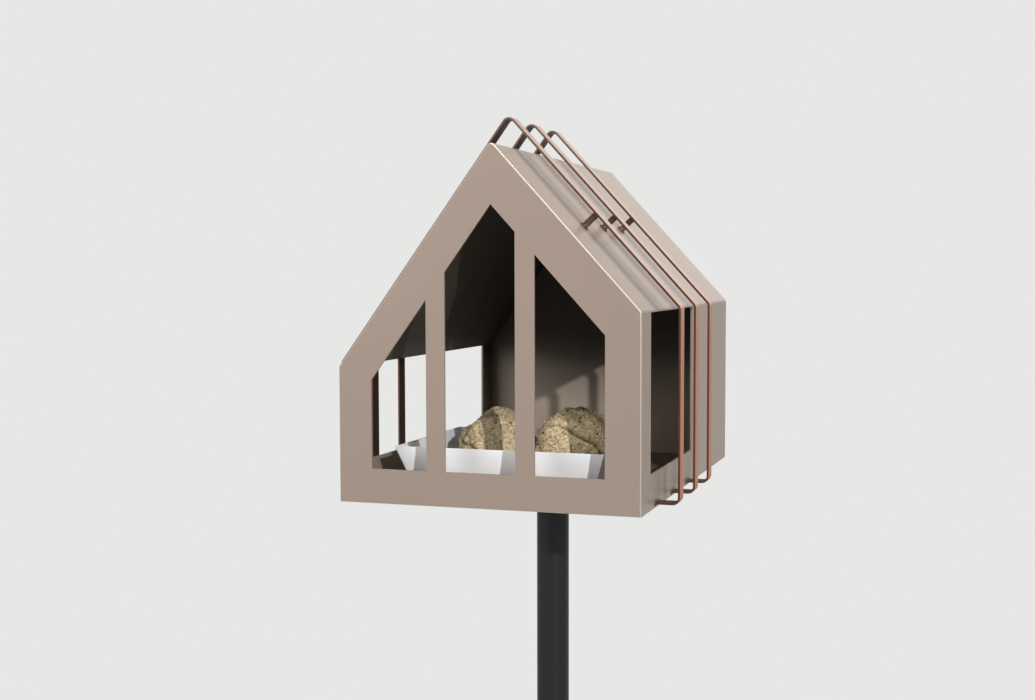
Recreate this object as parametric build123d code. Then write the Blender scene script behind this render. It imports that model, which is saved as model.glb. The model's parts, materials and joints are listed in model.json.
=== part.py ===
from build123d import *
import math
import os

# Gabled bird feeder on a pole, in millimetres.
# The origin is the centre of the pole's foot on the ground, +Z is up and the windows face -Y.

# House: outer sizes, with heights over the floor's underside
house_width = 260.0
house_depth = 364.0
ridge_height = 298.0
ridge_offset = 5.0  # the ridge stands right of the middle
left_eave_height = 114.0
right_eave_height = 162.0
sheet = 2.0
bend_radius = 4.0  # outer radius of the folds at the eaves and the ridge
edge_round = 1.6  # dressed edge round the front and the back panel

# Windows in the front panel
stile_width = 29.5
rail_height = 29.0
slope_border = 51.0  # plumb, from the roof's outer face down to a window's top
left_mullion_edge = -51.5
right_mullion_edge = 25.5
mullion_width = 16.5

# Openings in the side walls
side_sill = 29.0
side_front_border = 32.0
right_opening_length = 162.0
left_rear_border = 25.0

# Hoops round the house, bent from flat bar that lies broad side to the house
bar_width = 13.0
bar_thickness = 2.0
bar_edge = 0.4  # rounding of the bar's long edges
bar_bend = 5.5  # radius of the bar's middle line
first_hoop = 54.0  # from the house's front face
hoop_pitch = 60.0
wall_gap = 19.0  # clear of the side walls
roof_gap = 15.0  # clear of the roof
arm_height = 3.75  # middle of the arms that run in to the walls
hoop_names = ["front", "middle", "rear"]

# Feet of the hoops on the walls, and posts between the roof and the hoops
foot_length = 16.0
foot_height = 5.0
foot_thickness = 1.0
foot_corner = 1.5
post_diameter = 5.5
post_flange_diameter = 8.0
post_flange_thickness = 1.2
post_place = 0.5  # share of the slope, from the ridge down to the eave

# Tray on the floor
tray_length = 185.0
tray_width = 150.0
tray_height = 42.8
tray_flare = 19.0  # degrees that the sides lean out
tray_wall = 2.0
tray_corner = 0.8
tray_front = 28.0  # from the house's front face to the tray's rim

# Suet balls, which lie side by side against the tray's right end
left_ball_diameter = 74.0
left_ball_settled = 6.0  # how far its underside has settled flat
right_ball_diameter = 76.0
right_ball_settled = 4.5
ball_clearance = 0.9  # between the balls, and between the right one and the tray's end
balls_behind = 5.0  # from the tray's middle to the balls' middle

# Pole, with the flange under the floor and the cap at the foot
pole_length = 1000.0
pole_diameter = 30.0
pole_wall = 2.0
flange_diameter = 70.0
flange_thickness = 3.0
spigot_length = 60.0
spigot_clearance = 0.3
cap_thickness = 2.0
cap_plug_length = 15.0

# Sizes that follow
half_width = house_width / 2
front_y = -house_depth / 2
back_y = house_depth / 2
floor_z = pole_length + flange_thickness
left_slope = math.atan2(ridge_height - left_eave_height, half_width + ridge_offset)
right_slope = math.atan2(ridge_height - right_eave_height, half_width - ridge_offset)
bar_middle = bar_thickness / 2
tray_y = front_y + tray_front + tray_width / 2
pole_bore = pole_diameter / 2 - pole_wall


def roof_height(x):
    """Height of the roof's outer face at x."""
    slope = left_slope if x < ridge_offset else right_slope
    return ridge_height - abs(x - ridge_offset) * math.tan(slope)


def house_points(wall_out=0.0, roof_out=0.0, base=0.0):
    """The house's outline from the left foot over the ridge to the right foot, moved out or in."""
    rise_left = roof_out / math.cos(left_slope)
    rise_right = roof_out / math.cos(right_slope)
    shift = (rise_right - rise_left) / (math.tan(left_slope) + math.tan(right_slope))
    left_x = -half_width - wall_out
    right_x = half_width + wall_out
    left_eave = ridge_height - (ridge_offset - left_x) * math.tan(left_slope) + rise_left
    right_eave = ridge_height - (right_x - ridge_offset) * math.tan(right_slope) + rise_right
    ridge = (ridge_offset + shift, ridge_height + shift * math.tan(left_slope) + rise_left)
    return [(left_x, base), (left_x, left_eave), ridge, (right_x, right_eave), (right_x, base)]


def upright_plane(y):
    """Plane across the house at y: its X is the house's, its Y is the height over the floor's underside."""
    return Plane(origin=(0, y, floor_z), x_dir=(1, 0, 0), z_dir=(0, -1, 0))


def slab(sketch, y_front, y_back):
    """Solid between two places in the house's depth."""
    return extrude(upright_plane(y_back) * sketch, amount=y_back - y_front, dir=(0, -1, 0))


def house_face(inset, radius, base=0.0):
    """Filled outline of the house, with its folds rounded."""
    face = Polygon(*house_points(-inset, -inset, base), align=None)
    folds = [v for v in face.vertices() if v.Y > left_eave_height / 2]
    return fillet(folds, radius)


# Gable panels
def window(left, right):
    """A window whose top runs along under the roof."""
    tops = [(right, roof_height(right) - slope_border)]
    if left < ridge_offset < right:
        tops.append((ridge_offset, ridge_height - slope_border))
    tops.append((left, roof_height(left) - slope_border))
    return Polygon((left, rail_height), (right, rail_height), *tops, align=None)


def make_front_panel():
    face = house_face(0, bend_radius)
    face -= window(-half_width + stile_width, left_mullion_edge)
    face -= window(left_mullion_edge + mullion_width, right_mullion_edge)
    face -= window(right_mullion_edge + mullion_width, half_width - stile_width)
    panel = slab(face, front_y, front_y + sheet)
    rim = panel.faces().sort_by(Axis.Y)[0].outer_wire().edges()
    return fillet(rim, edge_round)


def make_back_panel():
    panel = slab(house_face(0, bend_radius), back_y - sheet, back_y)
    rim = panel.faces().sort_by(Axis.Y)[-1].outer_wire().edges()
    return fillet(rim, edge_round)


# Folded shells: each is one sheet with its wall, its fold at the eave and its slope,
# and the two meet in a mitred seam along the ridge
def shell_half(side):
    """Section of the left (-1) or the right (1) shell."""
    below = -sheet
    section = house_face(0, bend_radius) - house_face(sheet, bend_radius - sheet, base=below)
    outer_ridge = house_points()[2]
    inner_ridge = house_points(-sheet, -sheet)[2]
    lean = (outer_ridge[0] - inner_ridge[0]) / (outer_ridge[1] - inner_ridge[1])
    top = ridge_height + sheet
    seam_top = (outer_ridge[0] + lean * (top - outer_ridge[1]), top)
    seam_foot = (outer_ridge[0] + lean * (below - outer_ridge[1]), below)
    far = side * house_width
    half = Polygon(seam_top, seam_foot, (far, below), (far, top), align=None)
    return section & half


def side_opening(side, eave_height, slope, length):
    """Block that cuts a side wall, from its sill up to the start of the fold."""
    fold_run = bend_radius * math.tan((math.pi / 2 - slope) / 2)
    height = eave_height - fold_run - side_sill
    block = Box(4 * sheet, length, height, align=(Align.CENTER, Align.MIN, Align.MIN))
    return Pos(side * half_width, front_y + side_front_border, floor_z + side_sill) * block


def make_left_shell():
    shell = slab(shell_half(-1), front_y + sheet, back_y - sheet)
    length = house_depth - side_front_border - left_rear_border
    return shell - side_opening(-1, left_eave_height, left_slope, length)


def make_right_shell():
    shell = slab(shell_half(1), front_y + sheet, back_y - sheet)
    return shell - side_opening(1, right_eave_height, right_slope, right_opening_length)


def make_floor_panel():
    floor = Box(
        house_width - 2 * sheet,
        house_depth - 2 * sheet,
        sheet,
        align=(Align.CENTER, Align.CENTER, Align.MIN),
    )
    return Pos(0, 0, floor_z) * floor


# Hoops
def make_hoop(y):
    """One flat bar bent round the house, from a foot on one wall to a foot on the other."""
    out = house_points(wall_gap + bar_middle, roof_gap + bar_middle, base=arm_height)
    end_x = half_width + foot_thickness
    points = [(-end_x, arm_height), *out, (end_x, arm_height)]
    path = upright_plane(y) * FilletPolyline(*points, radius=bar_bend)
    start = Plane(origin=path @ 0, x_dir=(0, 1, 0), z_dir=path % 0)
    return sweep(start * RectangleRounded(bar_width, bar_thickness, bar_edge), path=path)


def make_foot(side, y):
    """Oblong pad that carries a hoop's end on the wall."""
    pad = Box(foot_thickness, foot_length, foot_height)
    pad = fillet(pad.edges().filter_by(Axis.X), foot_corner)
    return Pos(side * (half_width + foot_thickness / 2), y, floor_z + arm_height) * pad


def make_post(side, y):
    """Stud square to the roof, with a flange at its foot and its flat top under the bar."""
    ridge, eave = (ridge_offset, ridge_height), house_points()[2 + side]
    x = ridge[0] + post_place * (eave[0] - ridge[0])
    z = ridge[1] + post_place * (eave[1] - ridge[1])
    slope = right_slope if side > 0 else left_slope
    normal = (side * math.sin(slope), 0, math.cos(slope))
    seat = Plane(origin=(x, y, floor_z + z), x_dir=(0, 1, 0), z_dir=normal)
    up = (Align.CENTER, Align.CENTER, Align.MIN)
    stem = Cylinder(post_diameter / 2, roof_gap, align=up)
    flange = Cylinder(post_flange_diameter / 2, post_flange_thickness, align=up)
    return seat * (stem + flange)


# Tray and suet balls
def tray_block(inset, z_low, z_high):
    """Flared block between two heights over the tray's underside, inset from its outer faces."""
    flare = math.radians(tray_flare)
    level = inset / math.cos(flare)
    ends = []
    for z in (z_low, z_high):
        shrink = 2 * ((tray_height - z) * math.tan(flare) + level)
        outline = RectangleRounded(tray_length - shrink, tray_width - shrink, tray_corner)
        ends.append(Pos(0, 0, z) * outline)
    return loft(ends)


def make_tray():
    tray = tray_block(0, 0, tray_height) - tray_block(tray_wall, tray_wall, tray_height + tray_wall)
    return Pos(0, tray_y, floor_z + sheet) * tray


def ball_places():
    """Where the left and the right ball lie across the house, counted from the tray's right end."""
    flare = math.radians(tray_flare)
    left_radius = left_ball_diameter / 2
    right_radius = right_ball_diameter / 2
    right_middle = tray_wall + right_radius - right_ball_settled
    end_wall = tray_length / 2 - (tray_height - right_middle) * math.tan(flare) - tray_wall / math.cos(flare)
    right = end_wall - (right_radius + ball_clearance) / math.cos(flare)
    left = right - right_radius - ball_clearance - left_radius
    return left, right


def make_suet_ball(diameter, settled, x):
    """A ball that has settled a little flat on the tray."""
    ball = Sphere(diameter / 2) & Pos(0, 0, settled) * Box(diameter, diameter, diameter)
    seat_z = floor_z + sheet + tray_wall
    return Pos(x, tray_y + balls_behind, seat_z + diameter / 2 - settled) * ball


# Pole
def make_pole_flange():
    """Disc under the floor, with a spigot down into the pole."""
    down = (Align.CENTER, Align.CENTER, Align.MAX)
    disc = Cylinder(flange_diameter / 2, flange_thickness, align=down)
    spigot = Cylinder(pole_bore - spigot_clearance, flange_thickness + spigot_length, align=down)
    return Pos(0, 0, floor_z) * (disc + spigot)


def make_pole():
    up = (Align.CENTER, Align.CENTER, Align.MIN)
    length = pole_length - cap_thickness
    tube = Cylinder(pole_diameter / 2, length, align=up) - Cylinder(pole_bore, length, align=up)
    return Pos(0, 0, cap_thickness) * tube


def make_foot_cap():
    """Cap that closes the pole's foot, with a plug up into the pole."""
    up = (Align.CENTER, Align.CENTER, Align.MIN)
    disc = Cylinder(pole_diameter / 2, cap_thickness, align=up)
    plug = Cylinder(pole_bore - spigot_clearance, cap_thickness + cap_plug_length, align=up)
    return disc + plug


def make_pieces():
    """Every piece of the feeder, by the name of its node."""
    left_ball, right_ball = ball_places()
    pieces = {
        "front_panel": make_front_panel(),
        "back_panel": make_back_panel(),
        "left_shell": make_left_shell(),
        "right_shell": make_right_shell(),
        "floor_panel": make_floor_panel(),
        "tray": make_tray(),
        "suet_ball_left": make_suet_ball(left_ball_diameter, left_ball_settled, left_ball),
        "suet_ball_right": make_suet_ball(right_ball_diameter, right_ball_settled, right_ball),
        "pole_flange": make_pole_flange(),
        "pole": make_pole(),
        "pole_foot_cap": make_foot_cap(),
    }
    for i, name in enumerate(hoop_names):
        y = front_y + first_hoop + i * hoop_pitch
        pieces[f"hoop_{name}"] = make_hoop(y)
        for side, side_name in ((-1, "left"), (1, "right")):
            pieces[f"hoop_foot_{name}_{side_name}"] = make_foot(side, y)
            pieces[f"roof_post_{name}_{side_name}"] = make_post(side, y)
    return pieces


os.makedirs("parts", exist_ok=True)
for node, piece in make_pieces().items():
    piece.label = node
    export_step(piece, f"parts/{node}.step")
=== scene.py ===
import json
import math
from functools import partial

import bmesh
import bpy
from bpy.props import FloatProperty, FloatVectorProperty, IntProperty, PointerProperty
from bpy.types import Operator, Panel, PropertyGroup
from mathutils import Matrix, Vector


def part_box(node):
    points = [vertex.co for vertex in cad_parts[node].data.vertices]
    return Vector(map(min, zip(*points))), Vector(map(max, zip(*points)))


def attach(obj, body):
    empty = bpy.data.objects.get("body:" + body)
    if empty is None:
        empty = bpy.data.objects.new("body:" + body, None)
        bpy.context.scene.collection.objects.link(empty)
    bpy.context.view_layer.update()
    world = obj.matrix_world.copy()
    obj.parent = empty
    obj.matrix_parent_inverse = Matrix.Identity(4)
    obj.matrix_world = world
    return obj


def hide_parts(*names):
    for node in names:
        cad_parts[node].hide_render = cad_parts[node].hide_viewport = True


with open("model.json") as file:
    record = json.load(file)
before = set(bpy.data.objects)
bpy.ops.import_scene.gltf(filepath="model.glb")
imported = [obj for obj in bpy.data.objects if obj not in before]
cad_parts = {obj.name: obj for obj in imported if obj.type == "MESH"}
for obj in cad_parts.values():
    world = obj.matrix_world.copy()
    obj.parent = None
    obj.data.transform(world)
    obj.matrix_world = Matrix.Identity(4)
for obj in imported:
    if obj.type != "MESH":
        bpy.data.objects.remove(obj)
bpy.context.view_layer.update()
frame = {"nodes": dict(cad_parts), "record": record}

bl_info = {
    "name": "Gabled bird feeder",
    "version": (1, 0, 0),
    "blender": (4, 5, 0),
    "location": "3D View > Sidebar > Feeder",
    "description": "Dresses a gabled bird feeder on a pole and sets a studio round it",
    "category": "Object",
}

MM = 0.001
BODY = "root"
HOOP_NAMES = ("front", "middle", "rear")
SIDES = {"left": -1, "right": 1}
ARC_MIDDLE = 0.3  # share of a small radius at which the middle of a corner or an ease stands off a face
CUT_REACH = 4  # thicknesses of sheet by which a cutter reaches past the face that it cuts

# Suet: size and share of each grade of lumps
LUMP_GRADES = ((32 * MM, 1.0), (11 * MM, 0.6), (3.4 * MM, 0.34))
LUMP_MEAN = 0.52  # mean of the lumps' noise, which is taken off
CELL_SIZE = 30 * MM  # from crevice to crevice
STRAY = 12 * MM  # width of the band in which a crevice wanders
STRAY_GRAIN = 14 * MM  # length of its turns
SPLIT_WIDTH = 5.2 * MM

# Suet balls, with directions from a ball's centre: a bulge or dent is (direction, reach as a share of the
# radius, height), and a split is (direction across it, direction of its middle, depth)
BALL_FORMS = {
    "left": {
        "Bulge": ((0.35, -0.5, 0.79), 0.6, 2 * MM),
        "Dent": ((-0.63, -0.15, 0.76), 0.75, 7 * MM),
        "Split": ((0.35, 0.0, 0.94), (-0.3, -0.9, 0.3), 2.5 * MM),
    },
    "right": {
        "Bulge": ((-0.5, -0.72, 0.5), 0.55, 4.5 * MM),
        "Dent": ((0.15, -0.9, 0.2), 0.5, 2.5 * MM),
        "Split": ((0.38, 0.52, 0.76), (0.38, -0.84, 0.39), 5 * MM),
    },
}

# Seeds: name, half sizes, most per square metre, colour and roughness
SEEDS = (
    ("hulled_sunflower", (2.2 * MM, 1.1 * MM, 0.6 * MM), 6000.0, "#D2BE96", 0.7),
    ("rape_seed", (1.1 * MM, 0.9 * MM, 0.8 * MM), 2600.0, "#2E241C", 0.45),
    ("cracked_maize", (1.7 * MM, 1.3 * MM, 0.7 * MM), 700.0, "#CFAE5E", 0.55),
    ("oat_husk", (2.4 * MM, 0.6 * MM, 0.4 * MM), 22000.0, "#957B54", 0.75),
)

# Lamps: direction in degrees to the right of the front and up, distance, and size in metres
LAMPS = {
    "key": ((34.6, 15.6), 3.6, (0.05, 0.05)),
    "top": ((60, 80), 2.2, (1.8, 1.8)),
    "strip": ((60, 25), 2.5, (0.2, 3.0)),
    "back": ((174, 15), 2.6, (1.6, 0.8)),
    "fill": ((-38, 10), 2.6, (1.6, 1.2)),
}
FLOOR_RADIUS = 14.0
FLOOR_FADE = (0.5, 2.6)  # distances from the pole between which the floor turns into the backdrop
FLOOR_SHARE = 0.75  # share of the backdrop's colour that the lit floor is painted with, to look the same

panel_low, panel_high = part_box("front_panel")
back_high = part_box("back_panel")[1]
hoop_low, hoop_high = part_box("hoop_front")
foot_low, foot_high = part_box("hoop_foot_front_right")
tray_low, tray_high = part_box("tray")
pole_low, pole_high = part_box("pole")
flange_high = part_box("pole_flange")[1]
cap_low, cap_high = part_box("pole_foot_cap")


# Settings
def linear(code):
    """Linear colour of an sRGB hex value."""
    parts = [int(code[i:i + 2], 16) / 255 for i in (1, 3, 5)]
    return tuple(c / 12.92 if c <= 0.04045 else ((c + 0.055) / 1.055) ** 2.4 for c in parts) + (1.0,)


def length(name, millimetres, description):
    """A length setting, given in millimetres and kept in metres."""
    return FloatProperty(name=name, description=description, default=millimetres * MM, unit="LENGTH")


def angle(name, degrees, description):
    """An angle setting, given in degrees."""
    return FloatProperty(name=name, description=description, default=math.radians(degrees), subtype="ANGLE")


def power(name, watts, description):
    """A lamp's power setting, in watts."""
    return FloatProperty(name=name, description=description, default=watts, unit="POWER")


def tint(name, code, description):
    """A colour setting, given as an sRGB hex value."""
    default = linear(code)[:3]
    return FloatVectorProperty(name=name, description=description, size=3, subtype="COLOR", default=default)


class HouseSettings(PropertyGroup):
    """Sizes of the sheet-metal house that the frame's boxes don't give."""

    ridge_height: length("Ridge height", 298, "Sharp ridge over the floor's underside")
    ridge_offset: length("Ridge offset", 5, "How far right of the middle the ridge stands")
    left_eave: length("Left eave", 114, "Sharp left eave over the floor's underside")
    right_eave: length("Right eave", 162, "Sharp right eave over the floor's underside")
    sheet: length("Sheet", 2, "Thickness of the folded sheet")
    fold_radius: length("Fold radius", 4, "Outer radius of the folds at the eaves and the ridge")
    edge_round: length("Edge round", 1.6, "Dressed edge round the two gable panels")
    cut_round: length("Cut round", 0.35, "Deburred edge of every window and opening")
    stile: length("Stile", 29.5, "Sheet left beside the outer windows")
    rail: length("Rail", 29, "Sheet left under the windows")
    slope_border: length("Slope border", 51, "Sheet left over the windows, measured plumb")
    left_mullion: length("Left mullion", -51.5, "Left edge of the left mullion")
    right_mullion: length("Right mullion", 25.5, "Left edge of the right mullion")
    mullion: length("Mullion", 16.5, "Width of a mullion")
    side_sill: length("Side sill", 29, "Sheet left under the side openings")
    side_front: length("Side front border", 32, "Sheet left in front of the side openings")
    right_length: length("Right opening", 162, "Length of the right side opening")
    left_rear: length("Left rear border", 25, "Sheet left behind the left side opening")
    lacquer: tint("Lacquer", "#84766B", "Colour of the metallic lacquer")


class BarSettings(PropertyGroup):
    """Sizes of the flat-bar hoops, their feet and their posts."""

    thickness: length("Thickness", 2, "Thickness of the flat bar")
    edge_round: length("Edge round", 0.4, "Rounding of the bar's long edges")
    bend_radius: length("Bend radius", 5.5, "Radius of the bar's middle line at a bend")
    roof_gap: length("Roof gap", 15, "Clear gap between a hoop and the roof")
    post_diameter: length("Post diameter", 5.5, "Diameter of a roof post's stem")
    post_fillet: length("Post fillet", 0.5, "Weld fillet at both ends of a roof post's stem")
    flange_diameter: length("Flange diameter", 8, "Diameter of a roof post's flange")
    flange_thickness: length("Flange thickness", 1.2, "Thickness of a roof post's flange")
    post_place: FloatProperty(
        name="Post place",
        description="Share of the slope from the ridge down to the eave",
        default=0.5,
        min=0.0,
        max=1.0,
    )
    foot_corner: length("Foot corner", 1.5, "Rounding of a foot's corners")
    coat: tint("Coat", "#935A3A", "Colour of the coat on the broad faces")


class TraySettings(PropertyGroup):
    """Shape of the tray."""

    flare: angle("Flare", 19, "How far the sides lean out")
    wall: length("Wall", 2, "Thickness of the tray's sides and base")
    corner: length("Corner", 0.8, "Radius of the upright corners")
    lip: length("Lip", 0.4, "Rounding of the rim's edges")


class SuetSettings(PropertyGroup):
    """Shape of the suet balls."""

    detail: IntProperty(
        name="Detail", description="Subdivisions of each ball's skin", default=6, min=3, max=7,
    )
    lump_depth: length("Lump depth", 6, "How far the pressed lumps stand out")
    crack_depth: length("Crack depth", 1.5, "Depth of the crevices between the lumps")
    seed_spacing: length("Seed spacing", 2.6, "Least distance between two seeds of a kind")


class StageSettings(PropertyGroup):
    """Camera, light and floor."""

    camera_place: FloatVectorProperty(
        name="Camera place",
        description="Where the camera stands",
        size=3,
        subtype="TRANSLATION",
        default=(0.3859, -1.2207, 1.2004),
    )
    camera_turn: angle("Camera turn", 16.93, "How far the view turns left from straight at the windows")
    camera_dip: angle("Camera dip", 3.495, "How far the view looks down")
    lens: FloatProperty(
        name="Lens", description="Focal length on a 36 mm sensor, in millimetres", default=47.79,
    )
    shift: FloatProperty(
        name="Shift",
        description="Sideways shift that frames the view as the picture is cropped",
        default=-50 / 1035,
    )
    key_power: power("Key power", 86.0, "Power of the key light")
    top_power: power("Top power", 74.0, "Power of the top light")
    strip_power: power("Strip power", 16.0, "Power of the strip light that the edges mirror")
    back_power: power("Back power", 4.0, "Power of the low light that the roof and the bars mirror")
    fill_power: power("Fill power", 27.0, "Power of the broad light from the front left")
    world_strength: FloatProperty(
        name="World strength", description="Strength of the even light all round", default=0.25,
    )
    floor_colour: tint("Floor colour", "#E7E7E6", "Colour of the floor and the backdrop")


# Small helpers
def plug(node, inputs):
    """Sets or links a node's inputs, by name or in order; a node is linked by its first live output."""
    for key, value in inputs.items() if isinstance(inputs, dict) else enumerate(inputs):
        if isinstance(value, bpy.types.Node):
            value = next(socket for socket in value.outputs if socket.enabled)
        if isinstance(value, bpy.types.NodeSocket):
            node.id_data.links.new(value, node.inputs[key])
        else:
            node.inputs[key].default_value = value


def add_node(tree, kind, inputs=(), steps=(), **settings):
    """Adds a node with its settings and inputs; steps are a colour ramp's (position, hex value) pairs."""
    node = tree.nodes.new(kind)
    for key, value in settings.items():
        setattr(node, key, value)
    if steps:
        elements = node.color_ramp.elements
        while len(elements) < len(steps):
            elements.new(1.0)
        for element, (position, code) in zip(elements, steps):
            element.position = position
            element.color = linear(code)
    plug(node, inputs)
    return node


def dimmed(colour, share=1.0):
    """A share of a colour, as four numbers."""
    return tuple(c * share for c in colour[:3]) + (1.0,)


def new_material(name):
    """An empty node material and what adds a node to it."""
    material = bpy.data.materials.new(name)
    material.use_nodes = True
    return material, partial(add_node, material.node_tree)


def patches(add, grain, detail=2.0, stretch=None):
    """Random patches about grain metres across, laid out in object coordinates."""
    point = add("ShaderNodeTexCoord").outputs["Object"]
    if stretch:
        point = add("ShaderNodeMapping", {"Vector": point, "Scale": stretch})
    return add("ShaderNodeTexNoise", {"Vector": point, "Scale": 1 / grain, "Detail": detail})


def surface(material, sockets, relief=None):
    """The material with its shader's sockets set or linked; relief is a bump's (height, strength, depth)."""
    tree = material.node_tree
    if relief:
        relief = dict(zip(("Height", "Strength", "Distance"), relief))
        sockets["Normal"] = add_node(tree, "ShaderNodeBump", relief)
    plug(tree.nodes["Principled BSDF"], sockets)
    return material


def link(name, data):
    """New object in the scene."""
    made = bpy.data.objects.new(name, data)
    bpy.context.scene.collection.objects.link(made)
    return made


def new_piece(name, mesh, material, slot, *replaced):
    """Links a finished mesh as a piece of the feeder."""
    piece = link(name, mesh)
    if material:
        mesh.materials.clear()
        mesh.materials.append(material)
    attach(piece, BODY)
    if replaced:
        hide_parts(*replaced)


def smooth(mesh, degrees=40):
    """Smooth shading, sharp at edges that turn more than this."""
    mesh.shade_smooth()
    mesh.set_sharp_from_angle(angle=math.radians(degrees))


def dressed(mesh, degrees=40):
    """The mesh with smooth edges and flat faces that stay flat, as the larger faces lead the normals."""
    smooth(mesh, degrees)
    carrier = link(mesh.name + "_carrier", mesh)
    weighted = carrier.modifiers.new("weighted", "WEIGHTED_NORMAL")
    weighted.keep_sharp = True
    return evaluated_mesh(carrier, mesh.name)


def mesh_of(bm, name):
    """Mesh made from a bmesh."""
    mesh = bpy.data.meshes.new(name)
    bm.to_mesh(mesh)
    bm.free()
    return mesh


def evaluated_mesh(carrier, name):
    """Plain mesh of what an object's modifiers make; the object is removed."""
    depsgraph = bpy.context.evaluated_depsgraph_get()
    mesh = bpy.data.meshes.new_from_object(carrier.evaluated_get(depsgraph))
    for modifier in list(carrier.modifiers):
        carrier.modifiers.remove(modifier)
    source = carrier.data
    bpy.data.objects.remove(carrier, do_unlink=True)
    bpy.data.meshes.remove(source)
    mesh.name = name
    return mesh


def grow(name, mesh, tree, values):
    """Runs a geometry tree on a mesh and gives the mesh that comes out."""
    carrier = link(name + "_carrier", mesh)
    modifier = carrier.modifiers.new(name, "NODES")
    modifier.node_group = tree
    for item in tree.interface.items_tree:
        if item.item_type == "SOCKET" and item.in_out == "INPUT" and item.name in values:
            modifier[item.identifier] = values[item.name]
    return evaluated_mesh(carrier, name)


def geometry_tree(name, **inputs):
    """Geometry tree with inputs named by kind: (tree, what adds a node to it, its inputs by name)."""
    tree = bpy.data.node_groups.new(name, "GeometryNodeTree")
    for kind, labels in {"Geometry": ["Geometry"], **inputs}.items():
        for label in labels:
            tree.interface.new_socket(label, in_out="INPUT", socket_type="NodeSocket" + kind)
    tree.interface.new_socket("Geometry", in_out="OUTPUT", socket_type="NodeSocketGeometry")
    add = partial(add_node, tree)
    return tree, add, {socket.name: socket for socket in add("NodeGroupInput").outputs}


def real_piece(add, made, material):
    """What a tree made, as a real mesh in its material."""
    real = add("GeometryNodeRealizeInstances", {"Geometry": made})
    return add("GeometryNodeSetMaterial", {"Geometry": real, "Material": material})


# Shape of the house
def slopes(house):
    """Pitch of the left and of the right slope."""
    half = panel_high.x
    left = math.atan2(house.ridge_height - house.left_eave, half + house.ridge_offset)
    right = math.atan2(house.ridge_height - house.right_eave, half - house.ridge_offset)
    return left, right


def roof_height(house, x):
    """Height of the roof's outer face over the floor's underside at x."""
    left, right = slopes(house)
    pitch = left if x < house.ridge_offset else right
    return house.ridge_height - abs(x - house.ridge_offset) * math.tan(pitch)


def house_points(house, wall_out, roof_out, base=0.0):
    """Sharp outline from the left foot over the ridge to the right foot, moved out or in."""
    left, right = slopes(house)
    half = panel_high.x + wall_out
    rise_left, rise_right = roof_out / math.cos(left), roof_out / math.cos(right)
    shift = (rise_right - rise_left) / (math.tan(left) + math.tan(right))
    left_eave = house.ridge_height - (house.ridge_offset + half) * math.tan(left) + rise_left
    right_eave = house.ridge_height - (half - house.ridge_offset) * math.tan(right) + rise_right
    ridge = (house.ridge_offset + shift, house.ridge_height + shift * math.tan(left) + rise_left)
    return [(-half, base), (-half, left_eave), ridge, (half, right_eave), (half, base)]


def rounded_outline(house, inset, radius, base, steps=8):
    """Outline of the house with its three folds as arcs, over the floor's underside."""
    sharp = [Vector(p) for p in house_points(house, -inset, -inset, base)]
    outline = [sharp[0]]
    for before, corner, after in zip(sharp, sharp[1:], sharp[2:]):
        first, second = (before - corner).normalized(), (after - corner).normalized()
        half_angle = first.angle(second) / 2
        centre = corner + (first + second).normalized() * (radius / math.sin(half_angle))
        start = corner + first * (radius / math.tan(half_angle)) - centre
        turn = start.angle_signed(corner + second * (radius / math.tan(half_angle)) - centre)
        for step in range(steps + 1):
            outline.append(centre + Matrix.Rotation(-turn * step / steps, 2) @ start)
    outline.append(sharp[-1])
    return outline


def loft_rings(rings):
    """Closed solid through rings of as many points each."""
    bm = bmesh.new()
    made = [[bm.verts.new(point) for point in ring] for ring in rings]
    for ring, following in zip(made, made[1:]):
        for i in range(len(ring)):
            j = (i + 1) % len(ring)
            bm.faces.new((ring[i], ring[j], following[j], following[i]))
    bm.faces.new(reversed(made[0]))
    bm.faces.new(made[-1])
    bmesh.ops.recalc_face_normals(bm, faces=bm.faces)
    return bm


def prism(points, y_low, y_high):
    """Block that stands on an outline across the house."""
    foot = panel_low.z
    return loft_rings([[Vector((x, y, foot + z)) for x, z in points] for y in (y_low, y_high)])


def cutter(name, bm, material=None):
    """Object that a boolean reads, with the finish that its cut leaves."""
    tool = link(name, mesh_of(bm, name))
    if material:
        tool.data.materials.append(material)
    return tool


def window_points(house, left, right):
    """Outline of a window whose top runs along under the roof."""
    points = [(left, house.rail), (right, house.rail)]
    points.append((right, roof_height(house, right) - house.slope_border))
    if left < house.ridge_offset < right:
        points.append((house.ridge_offset, house.ridge_height - house.slope_border))
    points.append((left, roof_height(house, left) - house.slope_border))
    return points


def house_blank(house, steps=5):
    """Closed outer skin of the box, with dressed edges round both gables."""
    foot, front, back = panel_low.z, panel_low.y, back_high.y
    arc = [math.radians(90 * i / steps) for i in range(steps + 1)]
    rounding = house.edge_round
    ends = [(front + rounding * (1 - math.sin(a)), rounding * (1 - math.cos(a))) for a in reversed(arc)]
    ends += [(back - rounding * (1 - math.sin(a)), rounding * (1 - math.cos(a))) for a in arc]
    rings = []
    for y, inset in ends:
        outline = rounded_outline(house, inset, house.fold_radius - inset, inset)
        rings.append([Vector((p.x, y, foot + p.y)) for p in outline])
    return loft_rings(rings)


def house_hollow(house):
    """Inside of the box, from the floor panel's underside up, open below for the floor."""
    outline = rounded_outline(house, house.sheet, house.fold_radius - house.sheet, -house.sheet)
    points = [(p.x, p.y) for p in outline]
    return prism(points, panel_low.y + house.sheet, back_high.y - house.sheet)


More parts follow.
